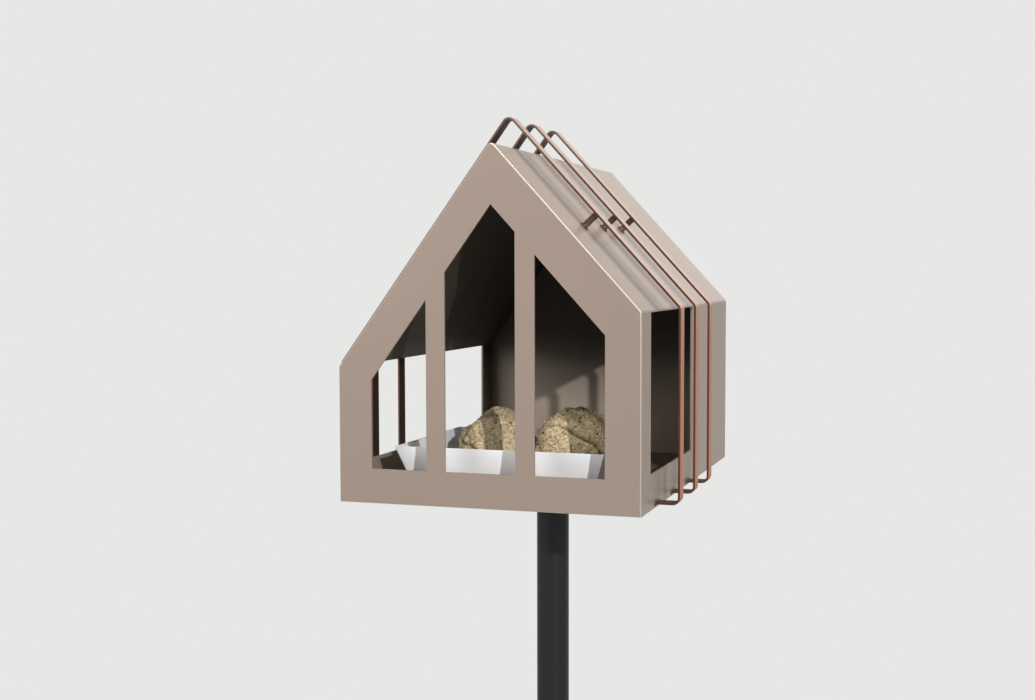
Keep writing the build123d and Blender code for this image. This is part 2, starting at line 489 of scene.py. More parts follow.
def side_block(house, side):
    """Block that cuts the opening of one side wall, up to the start of the fold."""
    pitch = slopes(house)[0 if side < 0 else 1]
    eave = house.left_eave if side < 0 else house.right_eave
    top = eave - house.fold_radius * math.tan((math.pi / 2 - pitch) / 2)
    low_y = panel_low.y + house.side_front
    high_y = back_high.y - house.left_rear if side < 0 else low_y + house.right_length
    wall = side * panel_high.x
    reach = CUT_REACH * house.sheet
    corners = [(low_y, house.side_sill), (high_y, house.side_sill), (high_y, top), (low_y, top)]
    return loft_rings([[Vector((wall + x, y, panel_low.z + z)) for y, z in corners] for x in (-reach, reach)])


def house_mesh(house, outer, inner):
    """Mesh of the welded box: skin, hollow, windows and side openings."""
    half, front, reach = panel_high.x, panel_low.y, CUT_REACH * house.sheet
    cuts = [house_hollow(house), side_block(house, -1), side_block(house, 1)]
    spans = [
        (-half + house.stile, house.left_mullion),
        (house.left_mullion + house.mullion, house.right_mullion),
        (house.right_mullion + house.mullion, half - house.stile),
    ]
    cuts += [prism(window_points(house, *span), front - reach, front + reach) for span in spans]
    blank = cutter("house_blank", house_blank(house), outer)
    tools = [cutter(f"house_cut_{i}", bm, outer if i else inner) for i, bm in enumerate(cuts)]
    for tool in tools:
        modifier = blank.modifiers.new(tool.name, "BOOLEAN")
        modifier.operation, modifier.solver, modifier.object = "DIFFERENCE", "EXACT", tool
        modifier.material_mode = "TRANSFER"
    edge = blank.modifiers.new("cut_round", "BEVEL")
    edge.width, edge.segments = house.cut_round, 2
    edge.limit_method, edge.angle_limit = "ANGLE", math.radians(50)
    edge.miter_outer = "MITER_ARC"
    mesh = evaluated_mesh(blank, "welded_house")
    for tool in tools:
        bpy.data.objects.remove(tool, do_unlink=True)
    return dressed(mesh)


# Materials
def lacquered_sheet(house):
    # Metallic lacquer sprayed on folded and welded sheet: fine flakes glint in the satin body. Round the
    # dressed edges of the gables the colour is painted paler and more metallic: a painted highlight line.
    material, add = new_material("metallic_lacquer")
    cloud = patches(add, 90 * MM, 3.0)
    shades = {"Factor": cloud, "A": dimmed(house.lacquer, 0.94), "B": dimmed(house.lacquer, 1.05)}
    tone = add("ShaderNodeMix", shades, data_type="RGBA")
    # Where an edge turns, its normal points half along the house and half across it: the square of its share
    # along the house and what that leaves of 1 are both large
    normal = add("ShaderNodeNewGeometry").outputs["Normal"]
    forward = add("ShaderNodeSeparateXYZ", {"Vector": normal}).outputs["Y"]
    square = add("ShaderNodeMath", [forward, forward], operation="MULTIPLY")
    rest = add("ShaderNodeMath", [1.0, square], operation="SUBTRACT")
    both = add("ShaderNodeMath", [square, rest], operation="MULTIPLY")
    edge = add("ShaderNodeMapRange", {"Value": both, "From Min": 0.04, "From Max": 0.2})
    # Painted highlight: where the edge mask is large the base colour is mixed towards a pale tone
    painted_edge_highlight = {"Factor": edge, "A": tone, "B": linear("#A89F94")}
    point = add("ShaderNodeTexCoord").outputs["Object"]
    flake = add("ShaderNodeTexVoronoi", {"Vector": point, "Scale": 1 / (0.7 * MM)})
    sockets = {
        "Base Color": add("ShaderNodeMix", painted_edge_highlight, data_type="RGBA"),
        "Metallic": add("ShaderNodeMapRange", {"Value": edge, "To Min": 0.1, "To Max": 0.5}),
        "Roughness": add("ShaderNodeMapRange", {"Value": flake, "To Min": 0.34, "To Max": 0.48}),
        "Specular IOR Level": 0.2,
    }
    return surface(material, sockets, (patches(add, 3.5 * MM, 1.0), 0.2, 0.03 * MM))


def primed_sheet():
    # Dark primer inside the house, duller than the outside. Its colour is painted paler in soft clouds
    # towards the floor, as painted bounced light, and darker up under the roof, as painted shade.
    material, add = new_material("primed_sheet")
    clouds = {"Value": patches(add, 70 * MM, 3.0), "To Min": -12 * MM, "To Max": 12 * MM}
    point = add("ShaderNodeTexCoord").outputs["Object"]
    height = add("ShaderNodeSeparateXYZ", {"Vector": point}).outputs["Z"]
    cloud = add("ShaderNodeMapRange", clouds)
    clouded_height = add("ShaderNodeMath", [height, cloud], operation="ADD")
    reach = {"From Min": panel_low.z + 50 * MM, "From Max": panel_low.z + 130 * MM}
    # Painted light and shade by height: pale near the floor, dark under the roof
    painted_shade_by_height = add("ShaderNodeMapRange", {"Value": clouded_height, **reach})
    steps = [(0.0, "#988B7D"), (0.45, "#81766A"), (0.7, "#5C544B"), (1.0, "#48413A")]
    colour = add("ShaderNodeValToRGB", {"Fac": painted_shade_by_height}, steps)
    sockets = {"Base Color": colour, "Roughness": 0.5, "Specular IOR Level": 0.1}
    return surface(material, sockets, (patches(add, 1.5 * MM), 0.2, 0.03 * MM))


def copper_bar_coat(bars):
    # Copper lacquer on slit steel bar: a warm satin metal on the broad faces that look outward, faintly
    # freckled. The spray missed most of the slit edges, which are brown. Faces turned to the house get
    # painted shade, darker still; over the roof, faces and edges are painted paler as a painted sky
    # reflection.
    material, add = new_material("copper_bar_coat")
    freckle = patches(add, 2.2 * MM, 3.0)
    shades = {"Factor": freckle, "A": dimmed(bars.coat, 0.78), "B": dimmed(bars.coat, 1.2)}
    broad = add("ShaderNodeMix", shades, data_type="RGBA")
    normal = add("ShaderNodeNewGeometry").outputs["Normal"]
    along = add("ShaderNodeSeparateXYZ", {"Vector": normal}).outputs["Y"]
    turned = add("ShaderNodeMath", [along], operation="ABSOLUTE")
    edge = add("ShaderNodeMapRange", {"Value": turned, "From Min": 0.55, "From Max": 0.85})
    point = add("ShaderNodeTexCoord").outputs["Object"]
    middle = (panel_low.z + panel_high.z) / 2
    from_middle = [point, (1, 0, 1), (0, 0, -middle)]
    out = add("ShaderNodeVectorMath", from_middle, operation="MULTIPLY_ADD")
    away = add("ShaderNodeVectorMath", [out], operation="NORMALIZE")
    facing = add("ShaderNodeVectorMath", [normal, away], operation="DOT_PRODUCT")
    inner = add("ShaderNodeMapRange", {"Value": facing, "From Min": -0.2, "From Max": -0.4})
    height = add("ShaderNodeSeparateXYZ", {"Vector": point}).outputs["Z"]

    def painted_sky_sheen(fresh, low, high, share, code):
        """Colour painted paler between two heights over the floor's underside, as a painted sky reflection.
        """
        reach = {"From Min": panel_low.z + low, "From Max": panel_low.z + high, "To Max": share}
        sky_sheen_share = add("ShaderNodeMapRange", {"Value": height, **reach})
        tones = {"Factor": sky_sheen_share, "A": fresh, "B": linear(code)}
        return add("ShaderNodeMix", tones, data_type="RGBA")

    faces = {
        "Factor": edge,
        "A": painted_sky_sheen(broad, 140 * MM, 190 * MM, 0.8, "#928174"),
        "B": painted_sky_sheen(linear("#54362A"), 190 * MM, 310 * MM, 0.9, "#5F4F45"),
    }
    outside = add("ShaderNodeMix", faces, data_type="RGBA")
    # Painted shade: faces turned towards the house's middle are mixed towards a dark brown
    inner_painted_shade = {"Factor": inner, "A": outside, "B": linear("#2F211A")}
    sockets = {
        "Base Color": add("ShaderNodeMix", inner_painted_shade, data_type="RGBA"),
        "Roughness": add("ShaderNodeMapRange", {"Value": freckle, "To Min": 0.4, "To Max": 0.3}),
        "Metallic": 0.25,
        "Specular IOR Level": 0.12,
    }
    return surface(material, sockets, (patches(add, 1.0 * MM), 0.25, 0.05 * MM))


def grained(name, grain, detail, colour, finish, relief=None):
    """Material with one pattern of patches in its relief, and in its colour where that is two tones."""
    material, add = new_material(name)
    pattern = patches(add, grain, detail)
    if isinstance(colour, list):
        colour = add("ShaderNodeValToRGB", {"Fac": pattern}, colour)
    return surface(material, {"Base Color": colour, **finish}, relief and (pattern, *relief))


def browned_steel():
    # Turned and pressed steel of the posts and feet under a thin brown lacquer: dark, with a satin sheen that
    # draws a soft line down each stem.
    tones = [(0.35, "#523A2A"), (0.65, "#71533E")]
    finish = {"Roughness": 0.38, "Metallic": 0.6}
    return grained("browned_steel", 2.5 * MM, 3.0, tones, finish, (0.2, 0.04 * MM))


def white_tray_enamel():
    # White enamel baked on pressed sheet: glossy, with a faint orange peel in the reflections.
    white = linear("#F4F5F6")
    return grained("white_enamel", 5 * MM, 1.0, white, {"Roughness": 0.3}, (0.15, 0.02 * MM))


def pressed_suet():
    # Rendered fat pressed warm with meal and fibre: a dry waxy beige whose fibres lie one way here and
    # another way there and catch the light; the split is painted dark, as painted shade in its recess. The
    # fibres are drawn coarser than real, so that they show.
    material, add = new_material("pressed_suet")
    crumb = patches(add, 2.4 * MM, 5.0)
    upright = patches(add, 0.9 * MM, 3.0, stretch=(1.0, 1.0, 0.22))
    level = patches(add, 0.9 * MM, 3.0, stretch=(0.25, 0.6, 1.0))
    areas = {"Value": patches(add, 9 * MM, 1.0), "From Min": 0.45, "From Max": 0.55}
    ways = {"Factor": add("ShaderNodeMapRange", areas), "A": upright, "B": level}
    grains = {"Factor": 0.6, "A": crumb, "B": add("ShaderNodeMix", ways, data_type="FLOAT")}
    both = add("ShaderNodeMix", grains, data_type="FLOAT")
    steps = [(0.34, "#7A6950"), (0.45, "#B29E7B"), (0.55, "#D2BE99"), (0.66, "#EBDDBB")]
    crevice = add("ShaderNodeAttribute", attribute_name="crevice").outputs["Fac"]
    # Painted shade: the split's stored mark mixes the colour towards a dark brown
    tones = {
        "Factor": add("ShaderNodeMapRange", {"Value": crevice, "To Max": 0.85}),
        "A": add("ShaderNodeValToRGB", {"Fac": both}, steps),
        "B": linear("#4A3A28"),
    }
    sockets = {
        "Base Color": add("ShaderNodeMix", tones, data_type="RGBA"),
        "Roughness": 0.8,
        "Subsurface Weight": 0.06,
        "Subsurface Radius": (4 * MM, 2 * MM, 1 * MM),
    }
    return surface(material, sockets, (both, 0.8, 0.6 * MM))


def seed_skin(name, code, roughness):
    # Dry skin of one kind of seed: a plain matt colour that darkens in patches.
    material, add = new_material(name)
    shades = {"Factor": patches(add, 4 * MM), "A": dimmed(linear(code), 0.7), "B": linear(code)}
    tone = add("ShaderNodeMix", shades, data_type="RGBA")
    return surface(material, {"Base Color": tone, "Roughness": roughness})


def pole_coat():
    # Anthracite powder coat baked on drawn tube: dark and dull, with a fine grain and a broad soft sheen.
    tones = [(0.35, "#0F1012"), (0.65, "#16181A")]
    finish = {"Roughness": 0.5, "Specular IOR Level": 0.22}
    return grained("anthracite_powder_coat", 0.9 * MM, 2.0, tones, finish, (0.35, 0.06 * MM))


def moulded_black():
    # Black moulded polyethylene: a soft low gloss, with the mould's fine grain.
    black = linear("#1A1B1C")
    return grained("moulded_polyethylene", 1.2 * MM, 2.0, black, {"Roughness": 0.45}, (0.2, 0.04 * MM))


def zinc_plate():
    # Zinc plated on small steel screws: a cool pale metal, slightly blotched.
    tones = [(0.35, "#9BA0A3"), (0.65, "#BCC0C2")]
    return grained("zinc_plated_steel", 2 * MM, 2.0, tones, {"Metallic": 1.0, "Roughness": 0.38})


# Hoops
def bent_bar_tree():
    """Geometry tree that rounds a wire's corners and gives it the section of a flat bar."""
    tree, add, given = geometry_tree(
        "bent_bar",
        Float=("Bend Radius", "Bar Width", "Bar Thickness", "Edge Round"),
        Int=("Bend Steps", "Edge Steps"),
        Material=("Material",),
    )
    wire = add("GeometryNodeMeshToCurve", {"Mesh": given["Geometry"]})
    flat = {"Width": given["Bar Width"], "Height": given["Bar Thickness"]}
    outline = add("GeometryNodeCurvePrimitiveQuadrilateral", flat)
    bends = {"Curve": wire, "Radius": given["Bend Radius"], "Count": given["Bend Steps"]}
    edges = {"Curve": outline, "Radius": given["Edge Round"], "Count": given["Edge Steps"]}
    tube = add("GeometryNodeCurveToMesh", {
        "Curve": add("GeometryNodeFilletCurve", bends, mode="POLY"),
        "Profile Curve": add("GeometryNodeFilletCurve", edges, mode="POLY"),
        "Fill Caps": True,
    })
    add("NodeGroupOutput", {"Geometry": real_piece(add, tube, given["Material"])})
    return tree


def wire_mesh(points):
    """Chain of edges through points."""
    mesh = bpy.data.meshes.new("wire")
    mesh.from_pydata(points, [(i, i + 1) for i in range(len(points) - 1)], [])
    return mesh


def hoop_wire(house, bars, y):
    """Corners of one hoop's middle line at y."""
    foot = panel_low.z
    middle = bars.thickness / 2
    wall_out = hoop_high.x - middle - panel_high.x
    arm = (foot_high.z + foot_low.z) / 2 - foot
    outline = house_points(house, wall_out, bars.roof_gap + middle, arm)
    end_x = foot_high.x
    corners = [(-end_x, arm), *outline, (end_x, arm)]
    return [(x, y, foot + z) for x, z in corners]


def lathe(profile, sides=28):
    """Solid turned round the Z axis from (radius, height) pairs, closed at both ends on the axis."""
    bm = bmesh.new()
    low = bm.verts.new((0, 0, profile[0][1]))
    high = bm.verts.new((0, 0, profile[-1][1]))
    angles = [2 * math.pi * i / sides for i in range(sides)]
    rings = []
    for radius, height in profile:
        rings.append([bm.verts.new((radius * math.cos(a), radius * math.sin(a), height)) for a in angles])
    for i in range(sides):
        j = (i + 1) % sides
        bm.faces.new((low, rings[0][j], rings[0][i]))
        bm.faces.new((high, rings[-1][i], rings[-1][j]))
        for ring, following in zip(rings, rings[1:]):
            bm.faces.new((ring[i], ring[j], following[j], following[i]))
    return bm


def placed_tree(name):
    """Geometry tree that sets a copy of one object on every point, turned as the point says."""
    tree, add, given = geometry_tree(name, Object=("Piece",), Material=("Material",))
    places = {
        "Points": given["Geometry"],
        "Instance": add("GeometryNodeObjectInfo", {"Object": given["Piece"]}).outputs["Geometry"],
        "Rotation": add("GeometryNodeInputNamedAttribute", {"Name": "turn"}, data_type="FLOAT_VECTOR"),
    }
    copies = add("GeometryNodeInstanceOnPoints", places)
    add("NodeGroupOutput", {"Geometry": real_piece(add, copies, given["Material"])})
    return tree


def set_on_points(name, bm, places, material):
    """Mesh with one copy of a shape at each (place, Euler turn)."""
    mesh = bpy.data.meshes.new(name + "_points")
    mesh.from_pydata([place for place, turn in places], [], [])
    turns = mesh.attributes.new("turn", "FLOAT_VECTOR", "POINT")
    for item, (place, turn) in zip(turns.data, places):
        item.vector = turn
    shape = cutter(name + "_shape", bm)
    smooth(shape.data)
    grown = grow(name, mesh, placed_tree(name + "_tree"), {"Piece": shape, "Material": material})
    bpy.data.objects.remove(shape, do_unlink=True)
    return grown


def hoop_places():
    """Depth of each hoop."""
    boxes = [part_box(f"hoop_{name}") for name in HOOP_NAMES]
    return [(low.y + high.y) / 2 for low, high in boxes]


def post_places(house, bars):
    """Seat and turn of each roof post."""
    outline = house_points(house, 0, 0)
    places = []
    for side, pitch in zip((-1, 1), slopes(house)):
        eave, ridge = Vector(outline[2 + side]), Vector(outline[2])
        seat = ridge.lerp(eave, bars.post_place)
        for y in hoop_places():
            places.append(((seat.x, y, panel_low.z + seat.y), (0, side * pitch, 0)))
    return places


def foot_places():
    """Seat and turn of each hoop's foot on the side walls."""
    height = (foot_low.z + foot_high.z) / 2
    seats = [(side, y) for side in SIDES.values() for y in hoop_places()]
    return [((side * foot_low.x, y, height), (0, side * math.pi / 2, 0)) for side, y in seats]


def post_shape(bars):
    """A post: flange with an eased rim, weld fillets and stem, with its flat head under the bar."""
    stem, flange = bars.post_diameter / 2, bars.flange_diameter / 2
    thick, fillet, head = bars.flange_thickness, bars.post_fillet, bars.roof_gap
    rim = thick / 4
    arc = fillet * ARC_MIDDLE
    profile = [(flange, 0), (flange, thick - rim), (flange - rim, thick), (stem + fillet, thick)]
    profile += [(stem + arc, thick + arc), (stem, thick + fillet), (stem, head - fillet)]
    profile += [(stem + arc, head - arc), (stem + fillet, head)]
    return lathe(profile)


def oblong(half_x, half_y, radius, z, centre=(0.0, 0.0), steps=4):
    """Ring of points round an oblong with rounded corners, at height z."""
    ring = []
    for quarter, (sx, sy) in enumerate(((1, 1), (-1, 1), (-1, -1), (1, -1))):
        for step in range(steps + 1):
            a = math.radians(90 * (quarter + step / steps))
            x = centre[0] + sx * (half_x - radius) + radius * math.cos(a)
            y = centre[1] + sy * (half_y - radius) + radius * math.sin(a)
            ring.append(Vector((x, y, z)))
    return ring


def foot_shape(bars):
    """A hoop's foot, lying down: an oblong pad with an eased rim."""
    thick = foot_high.x - foot_low.x
    half_x, half_y = (foot_high.z - foot_low.z) / 2, (foot_high.y - foot_low.y) / 2
    ease = thick * ARC_MIDDLE
    rings = [oblong(half_x, half_y, bars.foot_corner, z) for z in (0, thick - ease)]
    rings.append(oblong(half_x - ease, half_y - ease, bars.foot_corner - ease, thick))
    return loft_rings(rings)


# Tray
def tray_mesh(tray):
    """The tray: flared sides folded up from its base, with crisp corners and an eased rim."""
    centre = (tray_low + tray_high) / 2
    across, deep, height = (high - low for low, high in zip(tray_low, tray_high))
    lean, wall, lip = math.tan(tray.flare), tray.wall, tray.lip
    arc = lip * ARC_MIDDLE
    section = [
        (0, lip), (arc, arc), (lip, 0), (height - lip, 0), (height - arc, arc), (height, lip),
        (height, wall - lip), (height - arc, wall - arc), (height - lip, wall),
        (wall + lip, wall), (wall + arc, wall + arc), (wall, wall + lip),
    ]
    rings = []
    for z, inset in section:
        shrink = (height - z) * lean + inset / math.cos(tray.flare)
        half_x, half_y = across / 2 - shrink, deep / 2 - shrink
        rings.append(oblong(half_x, half_y, tray.corner, tray_low.z + z, centre))
    return dressed(mesh_of(loft_rings(rings), "tray"), degrees=50)


# Suet balls
def seeds_on(add, skin, kind, spacing, seed):
    """Seeds of one kind in a skin: the kind is (half sizes, most per square metre, material)."""
    size, most, material = kind
    spots = {"Mesh": skin, "Distance Min": spacing, "Density Max": most, "Seed": seed}
    points = add("GeometryNodeDistributePointsOnFaces", spots, distribute_method="POISSON")
    ball = add("GeometryNodeMeshUVSphere", {"Radius": 1.0, "Segments": 8, "Rings": 5})
    shape = add("GeometryNodeTransform", {"Geometry": ball, "Scale": size})
    tilts = {"Min": (-0.5, -0.5, 0.0), "Max": (0.5, 0.5, 6.283), "Seed": seed + 1}  # radians
    spin = add("FunctionNodeRandomValue", tilts, data_type="FLOAT_VECTOR")
    turns = {"Rotation": points.outputs["Rotation"], "Rotate By": spin}
    sizes = {"Min": 0.7, "Max": 1.2, "Seed": seed + 2}
    seeds = add("GeometryNodeInstanceOnPoints", {
        "Points": points,
        "Instance": add("GeometryNodeSetShadeSmooth", {"Geometry": shape}),
        "Rotation": add("FunctionNodeRotateRotation", turns, rotation_space="LOCAL"),
        "Scale": add("FunctionNodeRandomValue", sizes, data_type="FLOAT"),
    })
    return real_piece(add, seeds, material)


def suet_tree(kinds):
    """Geometry tree that lumps and cracks a ball's skin, flattens its seat and presses seeds into it."""
    tree, add, given = geometry_tree(
        "suet_ball",
        Float=(
            "Lump Depth", "Crack Depth", "Bulge Reach", "Bulge Height", "Dent Reach", "Dent Height",
            "Split Depth", "Spacing", "Seat",
        ),
        Vector=("Centre", "Bulge Place", "Dent Place", "Split Normal", "Split Middle"),
        Int=("Seed",),
        Material=("Suet",),
    )
    place, normal = add("GeometryNodeInputPosition"), add("GeometryNodeInputNormal")

    def swell(label):
        """Smooth hill at a named place: its reach and height are inputs too."""
        apart = add("ShaderNodeVectorMath", [place, given[f"{label} Place"]], operation="DISTANCE")
        reach = {"Value": apart, "From Min": given[f"{label} Reach"], "From Max": 0.0}
        hill = add("ShaderNodeMapRange", reach, interpolation_type="SMOOTHSTEP")
        return add("ShaderNodeMath", [hill, given[f"{label} Height"]], operation="MULTIPLY")

    # Pressed lumps, about as much of them outward as inward, then the bulge and the dent
    total = 0.0
    for grain, share in LUMP_GRADES:
        noise = {"Vector": place, "W": given["Seed"], "Scale": 1 / grain, "Detail": 2.0}
        lumps = add("ShaderNodeTexNoise", noise, noise_dimensions="4D")
        centred = add("ShaderNodeMath", [lumps, LUMP_MEAN], operation="SUBTRACT")
        scaled = add("ShaderNodeMath", [centred, share * 2], operation="MULTIPLY")
        total = add("ShaderNodeMath", [total, scaled], operation="ADD")
    pushed = add("ShaderNodeMath", [total, given["Lump Depth"]], operation="MULTIPLY")
    formed = add("ShaderNodeMath", [swell("Bulge"), swell("Dent")], operation="SUBTRACT")

    # Crevices between cells, which stray from straight lines
    noise = {"Vector": place, "Scale": 1 / STRAY_GRAIN, "Detail": 2.0}
    wander = add("ShaderNodeTexNoise", noise).outputs["Color"]
    evened = add("ShaderNodeVectorMath", [wander, (0.5, 0.5, 0.5)], operation="SUBTRACT")
    stray = [evened, (STRAY,) * 3, place]
    strayed = add("ShaderNodeVectorMath", stray, operation="MULTIPLY_ADD")
    cells = {"Vector": strayed, "W": given["Seed"], "Scale": 1 / CELL_SIZE}
    crack = add("ShaderNodeTexVoronoi", cells, voronoi_dimensions="4D", feature="DISTANCE_TO_EDGE")
    cleft = add("ShaderNodeMapRange", {"Value": crack, "From Min": 0.035, "From Max": 0.0})
    carved = add("ShaderNodeMath", [cleft, given["Crack Depth"]], operation="MULTIPLY")

    # The split: a slit near one plane through the centre, open round its middle
    from_centre = add("ShaderNodeVectorMath", [strayed, given["Centre"]], operation="SUBTRACT")
    across = [from_centre, given["Split Normal"]]
    off_plane = add("ShaderNodeVectorMath", across, operation="DOT_PRODUCT")
    aside = add("ShaderNodeMath", [off_plane], operation="ABSOLUTE")
    slit = add("ShaderNodeMapRange", {"Value": aside, "From Min": SPLIT_WIDTH / 2, "From Max": 0.0})
    way = add("ShaderNodeVectorMath", [from_centre], operation="NORMALIZE")
    along = add("ShaderNodeVectorMath", [way, given["Split Middle"]], operation="DOT_PRODUCT")
    near = add("ShaderNodeMapRange", {"Value": along, "From Min": 0.55, "From Max": 0.8})
    opened = add("ShaderNodeMath", [slit, near], operation="MULTIPLY")
    split = add("ShaderNodeMath", [opened, given["Split Depth"]], operation="MULTIPLY")

    # The skin is marked where the split is to be painted dark as shade, moved, and pressed flat on its seat
    raised = add("ShaderNodeMath", [pushed, formed], operation="ADD")
    sunk = add("ShaderNodeMath", [carved, split], operation="ADD")
    depth = add("ShaderNodeMath", [raised, sunk], operation="SUBTRACT")
    push = add("ShaderNodeVectorMath", {0: normal, "Scale": depth}, operation="SCALE")
    crevice = add("ShaderNodeMath", [opened, 1.6], operation="POWER")
    mark = {"Geometry": given["Geometry"], "Name": "crevice", "Value": crevice}
    marked = add("GeometryNodeStoreNamedAttribute", mark, data_type="FLOAT", domain="POINT")
    lumped = add("GeometryNodeSetPosition", {"Geometry": marked, "Offset": push})
    moved = add("ShaderNodeSeparateXYZ", {"Vector": place}).outputs
    flat = add("ShaderNodeMath", [moved["Z"], given["Seat"]], operation="MAXIMUM")
    settled = add("ShaderNodeCombineXYZ", {"X": moved["X"], "Y": moved["Y"], "Z": flat})
    seated = add("GeometryNodeSetPosition", {"Geometry": lumped, "Position": settled})
    skin = add("GeometryNodeSetMaterial", {"Geometry": seated, "Material": given["Suet"]})
    joined = add("GeometryNodeJoinGeometry", {"Geometry": skin})
    for i, kind in enumerate(kinds):
        plug(joined, {"Geometry": seeds_on(add, seated, kind, given["Spacing"], 10 * i + 3)})
    add("NodeGroupOutput", {"Geometry": joined})
    return tree


def suet_mesh(name, settings, tree, seed, form, suet):
    """Mesh of one suet ball, in the place of its solid; form gives its bulge, dent and split."""
    low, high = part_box(name)
    radius = (high.x - low.x) / 2
    centre = Vector(((low.x + high.x) / 2, (low.y + high.y) / 2, high.z - radius))
    bm = bmesh.new()
    bmesh.ops.create_icosphere(bm, subdivisions=settings.detail, radius=radius)
    bmesh.ops.translate(bm, verts=bm.verts, vec=centre)
    blank = mesh_of(bm, name + "_blank")
    blank.shade_smooth()
    values = {
        "Lump Depth": settings.lump_depth,
        "Crack Depth": settings.crack_depth,
        "Centre": tuple(centre),
        "Spacing": settings.seed_spacing,
        "Seed": seed,
        "Seat": low.z,
        "Suet": suet,
    }
    values.update(zip(("Split Normal", "Split Middle", "Split Depth"), form["Split"]))
    for label in ("Bulge", "Dent"):
        direction, reach, height = form[label]
        values[f"{label} Place"] = tuple(centre + Vector(direction) * radius)
        values[f"{label} Reach"] = reach * radius
        values[f"{label} Height"] = height
    return grow(name, blank, tree, values)


# Pole
def tube_profile(outer, low, high, ease=0.4 * MM):
    """Turned outline of a plain tube or disc with eased ends."""
    return [(outer - ease, low), (outer, low + ease), (outer, high - ease), (outer - ease, high)]


def screw_shape():
    """Domed screw head with a round socket, head down."""
    head, socket, height = 4.75 * MM, 1.9 * MM, 3 * MM
    rim, mouth = 0.35, 0.95  # shares of the height that the straight rim and the socket's mouth stand at
    turns = [math.radians(a) for a in (0, 20, 40, 58)]
    dome = [(head * math.cos(a), -height * (rim + (1 - rim) * math.sin(a))) for a in turns]
    return lathe([(socket, -height * rim), (socket, -height * mouth), *reversed(dome), (head, 0)], sides=24)


# Operators
class FEEDER_OT_house(Operator):
    """Builds the welded sheet-metal house in place of its panels and shells"""

    bl_idname = "feeder.house"
    bl_label = "Welded house"

    def execute(self, context):
        house = context.scene.feeder_house
        material = lacquered_sheet(house)
        nodes = ("front_panel", "back_panel", "left_shell", "right_shell")
        mesh = house_mesh(house, material, primed_sheet())
        new_piece("welded_house", mesh, None, "shell_metal", *nodes)
        floor = frame["nodes"]["floor_panel"]
        floor.data.materials.clear()
        floor.data.materials.append(material)
        return {"FINISHED"}


class FEEDER_OT_hoops(Operator):
    """Bends the flat-bar hoops and sets their feet and roof posts"""

    bl_idname = "feeder.hoops"
    bl_label = "Hoops"

    def execute(self, context):
        house, bars = context.scene.feeder_house, context.scene.feeder_bars
        material = copper_bar_coat(bars)
        tree = bent_bar_tree()
        values = {
            "Bend Radius": bars.bend_radius,
            "Bar Width": hoop_high.y - hoop_low.y,
            "Bar Thickness": bars.thickness,
            "Edge Round": bars.edge_round,
            "Bend Steps": 10,
            "Edge Steps": 4,
            "Material": material,
        }
        for name, y in zip(HOOP_NAMES, hoop_places()):
            mesh = grow(f"bent_hoop_{name}", wire_mesh(hoop_wire(house, bars, y)), tree, values)
            new_piece(f"bent_hoop_{name}", dressed(mesh, degrees=60), material, "hoop_copper", f"hoop_{name}")
        brown = browned_steel()
        for name, node, shape, places in (
            ("roof_posts", "roof_post", post_shape(bars), post_places(house, bars)),
            ("hoop_feet", "hoop_foot", foot_shape(bars), foot_places()),
        ):
            mesh = set_on_points(name, shape, places, brown)
            nodes = [f"{node}_{hoop}_{side}" for hoop in HOOP_NAMES for side in SIDES]
            new_piece(name, mesh, brown, "hoop_copper", *nodes)
        return {"FINISHED"}


class FEEDER_OT_tray(Operator):
    """Folds the white tray"""

    bl_idname = "feeder.tray"
    bl_label = "Tray"

    def execute(self, context):
        mesh = tray_mesh(context.scene.feeder_tray)
        new_piece("enamelled_tray", mesh, white_tray_enamel(), "tray_white", "tray")
        return {"FINISHED"}


class FEEDER_OT_suet(Operator):
    """Presses the suet balls with their seeds"""

    bl_idname = "feeder.suet"
    bl_label = "Suet balls"

    def execute(self, context):
        settings = context.scene.feeder_suet
        suet = pressed_suet()
        kinds = [(size, most, seed_skin(name, code, rough)) for name, size, most, code, rough in SEEDS]
        tree = suet_tree(kinds)
        for seed, side in enumerate(SIDES, 1):
            name = f"suet_ball_{side}"
            mesh = suet_mesh(name, settings, tree, seed, BALL_FORMS[side], suet)
            new_piece(f"pressed_{name}", mesh, None, "suet", name)
        return {"FINISHED"}


class FEEDER_OT_pole(Operator):
    """Turns the pole, its flange, its foot cap and the flange's screws"""

    bl_idname = "feeder.pole"
    bl_label = "Pole"

    def execute(self, context):
        coat = pole_coat()
        slots = {row["node"]: row["material_slot"] for row in frame["record"]["subparts"]}
        for name, node, material, sizes in (
            ("coated_pole", "pole", coat, (pole_high.x, pole_low.z, pole_high.z, 0.2 * MM)),
            ("coated_flange", "pole_flange", coat, (flange_high.x, pole_high.z, panel_low.z)),
            ("moulded_cap", "pole_foot_cap", moulded_black(), (cap_high.x, cap_low.z, pole_low.z)),
        ):
            mesh = mesh_of(lathe(tube_profile(*sizes), sides=64), name)
            smooth(mesh)
            new_piece(name, mesh, material, slots[node], node)
        self.screws()
        return {"FINISHED"}

    def screws(self):
        """Four screws that hold the flange to the floor."""
        ring = (flange_high.x + pole_high.x) / 2
        places = []
        for quarter in range(4):
            a = math.radians(45 + 90 * quarter)
            places.append(((ring * math.cos(a), ring * math.sin(a), pole_high.z), (0, 0, a)))
        mesh = set_on_points("flange_screws", screw_shape(), places, zinc_plate())
        new_piece("flange_screws", mesh, None, "pole_dark")


